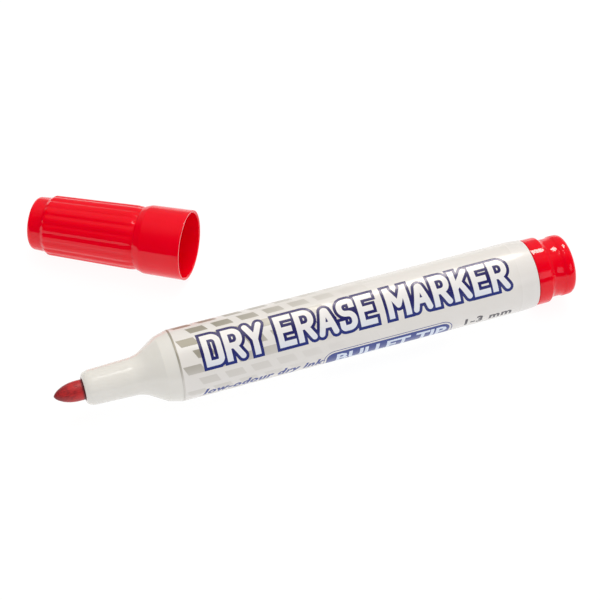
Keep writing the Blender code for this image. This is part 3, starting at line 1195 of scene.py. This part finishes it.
@dataclass
class Barrel:
    """The printed tube, a little drawn in towards its rear end. Sizes are in millimetres."""

    place: Place
    turning: TurningTree
    wall: float = 0.9
    front_edge: float = 0.05
    rear_edge: float = 0.45
    # How far it is drawn in behind the print, and how late along that stretch.
    drop: float = 0.225
    drop_power: float = 2.4
    print_start: float = 0.45
    print_end: float = 81.6
    segments: int = ROUND_SEGMENTS

    @property
    def radius(self) -> float:
        """The barrel's radius, from the frame."""
        low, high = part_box("barrel")
        return (high.z - low.z) / 2 / MM

    @property
    def length(self) -> float:
        """The barrel's length, from the frame."""
        low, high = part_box("barrel")
        return (high.x - low.x) / MM

    def outline(self) -> list[Corner]:
        """Draws the outline without the printed stretch, from its end round to its start.

        Returns:
            The outline.
        """
        radius, length = self.radius, self.length
        bore = radius - self.wall
        points = [Corner(self.print_end, radius)]
        steps = 10
        run = length - self.rear_edge - self.print_end
        for step in range(1, steps):
            share = step / steps
            fall = self.drop * share**self.drop_power
            points.append(Corner(self.print_end + run * share, radius - fall))
        rear = radius - self.drop
        ends = [
            points[-1],
            Corner(length, rear, self.rear_edge),
            Corner(length, bore, 0.12),
            Corner(0.0, bore, 0.12),
            Corner(0.0, radius, self.front_edge),
            Corner(self.print_start, radius),
        ]
        return points[:-1] + rounded(ends, 4, 0.04)

    def printed_stretch(self, graphics: Print) -> bpy.types.Mesh:
        """Cuts the print's shapes into the straight stretch of the barrel's surface.

        Args:
            graphics: the painted print.

        Returns:
            The stretch as a mesh about the X axis, with one material slot for each ink.
        """
        radius = self.radius
        half_turn = math.pi * radius
        spots: list[tuple[float, float]] = []
        edges: list[tuple[int, int]] = []
        start, end = self.print_start, self.print_end
        for line in range(self.segments + 1):
            w = -half_turn + 2 * half_turn * line / self.segments
            spots += [(start, w), (end, w)]
            edges.append((len(spots) - 2, len(spots) - 1))
        for shape in graphics.shapes:
            first, count = len(spots), len(shape.outline)
            spots += shape.outline
            edges += [(first + i, first + (i + 1) % count) for i in range(count)]
        flat = [Vector(spot) for spot in spots]
        points, _, cells, *_ = delaunay_2d_cdt(flat, edges, [], 0, 1e-4, False)
        mesh = bpy.data.meshes.new("printed_stretch")
        places = []
        for point in points:
            angle = math.pi / 2 + point.y / radius
            places.append(
                (point.x * MM, radius * math.cos(angle) * MM, radius * math.sin(angle) * MM)
            )
        mesh.from_pydata(places, [], cells)
        inks = []
        for cell in cells:
            middle = (points[cell[0]] + points[cell[1]] + points[cell[2]]) / 3
            inks.append(graphics.ink_at(middle.x, middle.y).value)
        mesh.polygons.foreach_set("material_index", inks)
        return mesh

    def build(self, graphics: Print) -> bpy.types.Object:
        """Builds the barrel with its print.

        Args:
            graphics: the painted print.

        Returns:
            The piece.
        """
        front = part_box("barrel")[0].x
        inks = [
            LACQUERED_MOULDING.material(),
            FadingSilver().material(front),
            # Each ink's lower tone is painted light and shade for the lower near side: the navy bluer, the
            # letter white cooler and darker, the grey darker.
            Ink("navy_ink", "#190F62", "#10308A").material(),
            Ink("letter_white_ink", "#EEECEB", "#D6E1F4").material(),
            Ink("grey_ink", "#5E5A60", "#4A464E").material(),
        ]
        ends = self.turning.turn(self.outline(), {"Segments": self.segments, "Material": inks[0]})
        stretch = self.printed_stretch(graphics)
        work = bmesh.new()
        work.from_mesh(ends)
        work.from_mesh(stretch)
        bmesh.ops.remove_doubles(work, verts=work.verts, dist=MERGE_DISTANCE)
        bmesh.ops.dissolve_degenerate(work, dist=NO_WIDTH, edges=work.edges)
        bmesh.ops.recalc_face_normals(work, faces=work.faces)
        mesh = bpy.data.meshes.new("barrel")
        for ink in inks:
            mesh.materials.append(ink)
        work.to_mesh(mesh)
        work.free()
        bpy.data.meshes.remove(ends)
        bpy.data.meshes.remove(stretch)
        mesh.shade_smooth()
        piece = self.place.put("barrel_printed", mesh, "printed_barrel", "barrel")
        self.true_normals(mesh)
        return piece

    def true_normals(self, mesh: bpy.types.Mesh) -> None:
        """Gives the printed stretch exact radial normals, so that its narrow cells don't show.

        Args:
            mesh: the placed barrel.
        """
        centre = self.place.matrix.translation
        start = centre.x + (self.print_start - 0.01) * MM
        end = centre.x + (self.print_end + 0.01) * MM
        outer = (self.radius - 0.1) * MM
        normals = []
        for vertex in mesh.vertices:
            away = Vector((0.0, vertex.co.y - centre.y, vertex.co.z - centre.z))
            if start < vertex.co.x < end and away.length > outer:
                normals.append(away.normalized())
            else:
                normals.append(Vector())
        mesh.normals_split_custom_set_from_vertices(normals)


@dataclass
class FrontSection:
    """The white nose that holds the nib: neck, concave flare, tapered cap seat and hidden spigot.

    Sizes are in millimetres, measured from the seam; the barrel starts one seam gap behind it.
    """

    place: Place
    turning: TurningTree
    seam_gap: float = 0.25
    # What shows of the fit's slack in a closed seam.
    seam_shown: float = 0.02
    nose: float = 20.5
    nib_bore: float = 2.62
    lip_radius: float = 2.87
    lip_length: float = 2.2
    neck_front: float = 4.05
    neck_rear: float = 4.38
    flare_angle: float = 32.0
    flare_blend: float = 7.0
    seat_length: float = 2.76
    seat_front: float = 7.47
    seat_rear: float = 8.12
    # The seat's rear edge stands this much proud, nearly flush with the barrel.
    seat_lip: float = 0.12
    spigot_radius: float = 7.05
    spigot_bore: float = 6.05
    spigot_length: float = 9.0
    cup_floor: float = 1.5
    cone_length: float = 6.2

    def outline(self) -> list[Corner]:
        """Draws the closed outline, from the nose over the outside and back through the bore.

        Returns:
            The outline, measured from the barrel's front edge.
        """
        slope = math.tan(math.radians(self.flare_angle))
        flare_start = -self.seat_length - (self.seat_front - self.neck_rear) / slope
        seam = self.seam_gap - self.seam_shown
        lip = []
        steps = 10
        swell = self.neck_front - self.lip_radius
        for step in range(steps + 1):
            angle = math.pi / 2 * step / steps
            x = -self.nose + self.lip_length * (1 - math.cos(angle))
            lip.append(Corner(x, self.lip_radius + swell * math.sin(angle)))
        body = rounded(
            [
                lip[-1],
                Corner(flare_start, self.neck_rear, self.flare_blend),
                Corner(-self.seat_length, self.seat_front, 0.2),
                Corner(seam, self.seat_rear + self.seat_lip, 0.03),
                Corner(seam, self.seat_rear),
                Corner(self.seam_gap - 0.01, self.seat_rear),
                Corner(self.seam_gap - 0.01, self.spigot_radius, 0.1),
                Corner(self.spigot_length, self.spigot_radius, 0.3),
                Corner(self.spigot_length, self.spigot_bore, 0.15),
                Corner(-self.cup_floor, self.spigot_bore, 0.3),
                Corner(-self.cup_floor - self.cone_length, self.nib_bore, 0.3),
                Corner(-self.nose, self.nib_bore, 0.08),
                lip[0],
            ],
            8,
        )
        points = lip[:-1] + body
        return [Corner(point.x - self.seam_gap, point.r) for point in points]

    def build(self) -> bpy.types.Object:
        """Builds the front section and returns the piece."""
        mesh = self.turning.turn(self.outline(), {"Material": WHITE_MOULDING.material()})
        return self.place.put("front_section_moulded", mesh, "white_moulding", "front_section")


@dataclass
class Nib:
    """The bullet nib with its hidden stem. Sizes are in millimetres, measured from the seam."""

    place: Place
    turning: TurningTree
    seam_gap: float = 0.25
    radius: float = 2.32
    tip: float = 27.3
    head_length: float = 5.4
    head_power: float = 0.66
    stem_inside: float = 7.0
    tail_length: float = 1.5
    tail_radius: float = 1.2
    lip: float = 20.5
    fuzz: float = 0.07
    fuzz_size: float = 0.35
    segments: int = 96
    # Short rings keep the fibres' relief even along the straight part that shows.
    ring_length: float = 0.25
    rings_end: float = -19.0

    def outline(self) -> list[Corner]:
        """Draws the outline from the tip to the stem's end.

        Returns:
            The outline, measured from the barrel's front edge.
        """
        points = []
        steps = 26
        for step in range(steps + 1):
            share = 1 - math.cos(math.pi / 2 * step / steps)
            radius = self.radius * (1 - (1 - share) ** 2) ** self.head_power
            points.append(Corner(-self.tip + self.head_length * share, radius))
        shoulder = -self.tip + self.head_length
        while shoulder < self.rings_end:
            shoulder += self.ring_length
            points.append(Corner(shoulder, self.radius))
        points += [
            Corner(self.stem_inside - self.tail_length, self.radius),
            Corner(self.stem_inside, self.tail_radius),
            Corner(self.stem_inside, 0.0),
        ]
        return [Corner(point.x - self.seam_gap, point.r) for point in points]

    def build(self) -> bpy.types.Object:
        """Builds the nib.

        Returns:
            The piece.
        """
        inputs = {
            "Segments": self.segments,
            "Fuzz": self.fuzz * MM,
            "Fuzz Size": self.fuzz_size * MM,
            # The felt's ring of painted shade, and its painted light, end at the nib's lip.
            "Material": NIB_FELT.material(self.place.matrix.translation.x - self.lip * MM),
        }
        mesh = self.turning.turn(self.outline(), inputs)
        return self.place.put("nib_felt", mesh, "inked_felt", "nib")


@dataclass
class EndPlug:
    """The rear plug: a band, a concave waist and a second band with a round edge.

    Sizes are in millimetres, measured from the barrel's rear edge.
    """

    place: Place
    turning: TurningTree
    barrel_length: float
    gap: float = 0.12
    end: float = 9.85
    band_length: float = 3.23
    band_radius: float = 7.86
    waist_length: float = 3.0
    waist_step: float = 0.8
    waist_radius: float = 6.92
    tail_radius: float = 7.16
    tail_edge: float = 1.2
    spigot_length: float = 8.4
    spigot_radius: float = 7.05
    spigot_bore: float = 6.05
    cavity_radius: float = 5.3
    end_wall: float = 1.6
    gate_radius: float = 1.5
    gate_depth: float = 0.25

    def outline(self) -> list[Corner]:
        """Draws the closed outline, from the spigot's bore over the outside to the cavity.

        Returns:
            The outline, measured from the barrel's front edge.
        """
        start, end = self.gap, self.end
        band_end = start + self.band_length
        waist_start = band_end + self.waist_step
        waist_end = waist_start + self.waist_length
        waist = []
        steps = 12
        hollow = self.tail_radius - self.waist_radius
        for step in range(steps + 1):
            angle = math.pi * (1 + step / steps)
            x = (waist_start + waist_end) / 2 + self.waist_length / 2 * math.cos(angle)
            waist.append(Corner(x, self.tail_radius + hollow * math.sin(angle)))
        inside = [
            Corner(-self.spigot_length, self.spigot_bore),
            Corner(-self.spigot_length, self.spigot_radius, 0.3),
            Corner(start, self.spigot_radius, 0.1),
            Corner(start, self.band_radius, 0.15),
            Corner(band_end, self.band_radius, 0.35),
            waist[0],
        ]
        outside = [
            waist[-1],
            Corner(end, self.tail_radius, self.tail_edge),
            Corner(end, self.gate_radius, 0.1),
            Corner(end - self.gate_depth, self.gate_radius - self.gate_depth, 0.1),
            Corner(end - self.gate_depth, 0.0),
        ]
        cavity = [
            Corner(end - self.end_wall, 0.0),
            Corner(end - self.end_wall, self.cavity_radius, 0.3),
            Corner(0.0, self.cavity_radius, 0.1),
            Corner(-self.spigot_length, self.spigot_bore),
        ]
        points = rounded(inside, 6) + waist[1:-1] + rounded(outside, 8) + rounded(cavity)
        return [Corner(point.x + self.barrel_length, point.r) for point in points]

    def build(self) -> bpy.types.Object:
        """Builds the plug and returns the piece."""
        mesh = self.turning.turn(self.outline(), {"Material": RED_MOULDING.material()})
        return self.place.put("end_plug_moulded", mesh, "red_moulding", "end_plug")


# ---------------------------------------------------------------- the cap's pieces


@dataclass
class CapSizes:
    """The cap's sizes in millimetres, measured back from its mouth."""

    length: float = 39.2
    mouth_radius: float = 8.46
    rim_wall: float = 0.6
    lead_in: float = 0.2
    skirt_length: float = 10.6
    skirt_rear: float = 8.32
    skirt_wall: float = 0.77
    shoulder_length: float = 1.1
    rib_front: float = 7.85
    rib_rear: float = 7.35
    # The grooves are soft and shallow; the fit model cuts them square and deeper.
    rib_height: float = 0.17
    rib_count: int = 20
    rib_run_out: float = 1.5
    # The thin groove behind the shoulder, and how far the ribs take to rise from it.
    neck_groove: float = 0.33
    rib_run_in: float = 2.0
    tip_length: float = 3.4
    tip_front: float = 6.65
    tip_rear: float = 6.45
    tip_edge: float = 1.0
    bore_radius: float = 5.7
    bore_step: float = 2.6
    end_wall: float = 2.0
    liner_radius: float = 5.4
    liner_bore: float = 4.8
    liner_lip: float = 4.53
    liner_lip_length: float = 1.2
    liner_end_wall: float = 0.8
    liner_gap: float = 0.3

    @property
    def lean(self) -> float:
        """How much the axis rises towards the mouth, as the cap lies on its skirt and its ribs."""
        run = self.length - self.tip_length - self.rib_run_out - self.skirt_length
        return math.atan2(self.skirt_rear - self.rib_rear, run)


@dataclass
class Cap:
    """The red cap: smooth skirt, ribbed grip and plain closed end, with the liner inside it."""

    place: Place
    turning: TurningTree
    sizes: CapSizes
    samples_per_rib: int = 16

    def shell_outline(self) -> list[Corner]:
        """Draws the shell's closed outline, from its mouth over the outside to the bore.

        Returns:
            The outline, with the depth of the grooves along it.
        """
        cap = self.sizes
        ribs_start = cap.skirt_length + cap.shoulder_length
        tip_start = cap.length - cap.tip_length
        ribs_end = tip_start - cap.rib_run_out
        slope = (cap.rib_rear - cap.rib_front) / (ribs_end - ribs_start)
        deep = cap.rib_height
        outside = [
            Corner(0.0, cap.mouth_radius - cap.rim_wall + cap.lead_in),
            Corner(0.0, cap.mouth_radius, 0.1),
            Corner(-cap.skirt_length + 0.5, cap.skirt_rear, 2.2),
            Corner(-ribs_start + 0.1, cap.rib_front - 0.04, 0.3),
            Corner(-ribs_start - 0.05, cap.rib_front - 0.3, 0.08),
            Corner(-ribs_start - 0.25, cap.rib_front - 0.36, 0.0, 0.02),
        ]
        # The ribs rise from a thin groove behind the shoulder and run the whole grip.
        grip = []
        steps = 6
        for step in range(steps + 1):
            share = step / steps
            x = ribs_start + 0.35 + cap.rib_run_in * share
            rise = cap.neck_groove * (1 - share) ** 2
            crest = cap.rib_front + slope * (x - ribs_start) - rise
            grip.append(Corner(-x, crest, 0.0, deep * min(1, 0.3 + share)))
        steps = 22
        straight_start = x
        for step in range(1, steps + 1):
            x = straight_start + (ribs_end - straight_start) * step / steps
            grip.append(Corner(-x, cap.rib_front + slope * (x - ribs_start), 0.0, deep))
        steps = 8
        for step in range(1, steps + 1):
            share = step / steps
            fall = (cap.rib_rear - cap.tip_front) * share * share * (3 - 2 * share)
            x = ribs_end + cap.rib_run_out * share
            grip.append(Corner(-x, cap.rib_rear - fall, 0.0, deep * (1 - share)))
        rear = [
            grip[-1],
            Corner(-cap.length, cap.tip_rear, cap.tip_edge),
            Corner(-cap.length, 2.2, 0.2),
            Corner(-cap.length + 0.3, 1.9, 0.2),
            Corner(-cap.length + 0.3, 0.0),
        ]
        inside = [
            Corner(-cap.length + cap.end_wall, 0.0),
            Corner(-cap.length + cap.end_wall, cap.bore_radius, 0.4),
            Corner(-cap.skirt_length - cap.bore_step, cap.bore_radius, 0.5),
            Corner(-cap.skirt_length, cap.skirt_rear - cap.skirt_wall, 0.4),
            Corner(-cap.lead_in, cap.mouth_radius - cap.rim_wall, 0.1),
            outside[0],
        ]
        return rounded(outside, 6) + grip + rounded(rear, 6)[1:] + rounded(inside, 6)

    def liner_outline(self) -> list[Corner]:
        """Draws the liner's closed outline: a cup whose lip closes on the neck.

        Returns:
            The outline.
        """
        cap = self.sizes
        mouth = -cap.skirt_length - cap.bore_step - cap.liner_gap
        end = -cap.length + cap.end_wall + cap.liner_gap
        lip = cap.liner_lip_length
        return rounded(
            [
                Corner(end, 0.0),
                Corner(end, cap.liner_radius, 0.4),
                Corner(mouth, cap.liner_radius, 0.15),
                Corner(mouth, cap.liner_lip + 0.3, 0.1),
                Corner(mouth - lip / 2, cap.liner_lip, 0.3),
                Corner(mouth - lip, cap.liner_lip, 0.3),
                Corner(mouth - 2 * lip, cap.liner_bore, 0.3),
                Corner(end + cap.liner_end_wall, cap.liner_bore, 0.5),
                Corner(end + cap.liner_end_wall, 0.0),
            ]
        )

    def build(self) -> list[bpy.types.Object]:
        """Builds the cap's pieces.

        Returns:
            The shell and the liner.
        """
        inputs = {
            "Segments": self.sizes.rib_count * self.samples_per_rib,
            "Ribs": self.sizes.rib_count,
            "Material": RED_MOULDING.material(),
        }
        shell = self.turning.turn(self.shell_outline(), inputs)
        liner = self.turning.turn(self.liner_outline(), {"Material": NATURAL_MOULDING.material()})
        return [
            self.place.put("cap_shell_moulded", shell, "red_moulding", "cap_shell"),
            self.place.put("cap_liner_moulded", liner, "natural_moulding", "cap_liner"),
        ]


@dataclass(frozen=True)
class Reservoir:
    """The sealed ink reservoir, whose CAD nodes stay and get their real finishes."""

    def dress(self) -> None:
        """Gives the reservoir's two nodes their own materials."""
        for name, finish, slot in (
            ("reservoir_core", CORE_FIBRE, "inked_fibre"),
            ("reservoir_film", FILM, "clear_film"),
        ):
            node = frame["nodes"][name]
            node.data.materials.clear()
            node.data.materials.append(finish.material())
            log.info("%s keeps its shape and wears %s", name, finish.name)


# ---------------------------------------------------------------- the studio


@dataclass
class Lamp:
    """A soft lamp that looks at a point. Sizes are in metres, and power is in watts.

    mirrored lamps show in glossy surfaces, and soft ones light the surfaces themselves.
    """

    name: str
    towards: tuple[float, float, float]
    distance: float
    size: tuple[float, float]
    power: float
    colour: str = "#FFFFFF"
    mirrored: bool = True
    soft: bool = True

    def build(self, target: Vector) -> bpy.types.Object:
        """Builds the lamp.

        Args:
            target: the point that it looks at.

        Returns:
            The lamp's object.
        """
        light = bpy.data.lights.new(self.name, "AREA")
        light.shape = "RECTANGLE"
        light.size, light.size_y = self.size
        light.energy = self.power
        light.color = linear(self.colour)[:3]
        lamp = bpy.data.objects.new(self.name, light)
        way = Vector(self.towards).normalized()
        turn = way.to_track_quat("Z", "Y").to_matrix().to_4x4()
        lamp.matrix_world = Matrix.Translation(target + way * self.distance) @ turn
        lamp.visible_glossy = self.mirrored
        lamp.visible_diffuse = self.soft
        bpy.context.scene.collection.objects.link(lamp)
        return lamp


@dataclass
class Studio:
    """A white table in a dark room, with soft lamps and the camera."""

    floor_radius: float = 1.5
    lens: float = 108.0
    camera_at: tuple[float, float, float] = (-0.09239, -0.29432, 0.30638)
    camera_azimuth: float = -18.29
    camera_elevation: float = 45.62
    camera_roll: float = -1.147

    def build_floor(self) -> None:
        """A round white table, bright enough by itself that shadows on it stay faint."""
        bpy.ops.mesh.primitive_circle_add(vertices=96, radius=self.floor_radius, fill_type="NGON")
        floor = bpy.context.object
        floor.name = "studio_floor"
        material, _, shader = new_material("white_table")
        shader.inputs["Base Color"].default_value = (0.1, 0.1, 0.1, 1.0)
        shader.inputs["Roughness"].default_value = 0.9
        shader.inputs["Specular IOR Level"].default_value = 0.0
        shader.inputs["Emission Color"].default_value = linear("#FFFFFF")
        shader.inputs["Emission Strength"].default_value = 0.93
        floor.data.materials.append(material)
        floor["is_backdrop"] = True

    def build_room(self) -> None:
        """A room that is white to the camera, even to the lamps' soft light, and dark in mirrors."""
        world = bpy.data.worlds.new("studio_room")
        world.use_nodes = True
        tree = world.node_tree
        tree.nodes.clear()
        way = add_node(tree, "ShaderNodeTexCoord").outputs["Generated"]
        parts = add_node(tree, "ShaderNodeSeparateXYZ", {0: way}).outputs
        # In mirrors the white ends a little above the table, and the wall behind is dimly lit.
        sweep = spread(tree, parts["Z"], 0.95, 0.0, (0.02, 0.035))
        wall = spread(tree, parts["Y"], 0.01, 0.36, (-0.45, 0.0))
        side = spread(tree, parts["X"], 0.0, 1.0, (-0.65, -0.25))
        wall = add_node(tree, "ShaderNodeMath", {0: wall, 1: side}, {"operation": "MULTIPLY"}).outputs[0]
        mirrored = add_node(tree, "ShaderNodeMath", {0: sweep, 1: wall}, {"operation": "MAXIMUM"}).outputs[0]
        path = add_node(tree, "ShaderNodeLightPath").outputs
        dark = add_node(tree, "ShaderNodeBackground", {"Color": linear("#FFFDFC"), "Strength": mirrored})
        # The diffuse light is stronger from above than from the walls.
        sky = spread(tree, parts["Z"], 0.33, 0.96)
        even = add_node(tree, "ShaderNodeBackground", {"Color": linear("#FFFDFA"), "Strength": sky})
        white = add_node(tree, "ShaderNodeBackground", {"Color": linear("#FFFFFF"), "Strength": 1.0})
        soft = add_node(
            tree, "ShaderNodeMixShader", {0: path["Is Glossy Ray"], 1: even.outputs[0], 2: dark.outputs[0]}
        )
        seen = add_node(
            tree, "ShaderNodeMixShader", {0: path["Is Camera Ray"], 1: soft.outputs[0], 2: white.outputs[0]}
        )
        add_node(tree, "ShaderNodeOutputWorld", {"Surface": seen.outputs[0]})
        bpy.context.scene.world = world

    def build_lamps(self, target: Vector) -> None:
        """The window behind, the panel in front, a strip overhead and the fill from above.

        Args:
            target: the point that they look at.
        """
        lamps = (
            Lamp("window", (0.36, 0.37, 0.86), 0.9, (0.20, 0.26), 1.25, "#FFF6EA"),
            Lamp("window_pane", (0.36, 0.37, 0.86), 0.89, (0.19, 0.25), 2.2, "#FFF6EA", soft=False),
            Lamp("front_panel", (0.35, -0.84, 0.41), 0.9, (0.35, 0.30), 0.45, "#F4F4FF"),
            Lamp("ceiling_strip", (0.06, 0.02, 0.98), 0.9, (0.26, 0.10), 0.6),
            Lamp("fill_above", (0.35, 0.1, 0.9), 1.1, (0.9, 0.9), 1.8, "#FFFBF2", mirrored=False),
        )
        for lamp in lamps:
            lamp.build(target)

    def build_camera(self) -> None:
        """The camera, looking down on the set from the nib's side."""
        data = bpy.data.cameras.new("camera")
        data.lens = self.lens
        data.clip_start, data.clip_end = 0.01, 20.0
        camera = bpy.data.objects.new("camera", data)
        turn = Matrix.Rotation(math.radians(self.camera_azimuth), 4, "Z")
        tilt = Matrix.Rotation(math.radians(90 - self.camera_elevation), 4, "X")
        roll = Matrix.Rotation(math.radians(self.camera_roll), 4, "Z")
        camera.matrix_world = Matrix.Translation(self.camera_at) @ turn @ tilt @ roll
        bpy.context.scene.collection.objects.link(camera)
        bpy.context.scene.camera = camera

    def build(self, target: Vector) -> None:
        """Builds the studio round the object.

        Args:
            target: the point that the lamps look at.
        """
        self.build_floor()
        self.build_room()
        self.build_lamps(target)
        self.build_camera()
        bpy.context.scene.view_settings.view_transform = "Standard"
        log.info("studio is set")


def main() -> None:
    """Builds the marker, the cap and the studio."""
    logging.basicConfig(level=logging.INFO, format="%(name)s: %(message)s")
    cad_low, cad_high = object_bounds()
    turning = TurningTree()
    marker = marker_place()
    barrel = Barrel(marker, turning)
    graphics = Print(barrel.radius)
    graphics.paint_all()
    barrel.build(graphics)
    FrontSection(marker, turning).build()
    Nib(marker, turning).build()
    EndPlug(marker, turning, barrel.length).build()
    Reservoir().dress()
    sizes = CapSizes()
    Cap(cap_place(sizes.lean), turning, sizes).build()
    Studio().build((cad_low + cad_high) / 2)


if __name__ == "__main__":
    main()
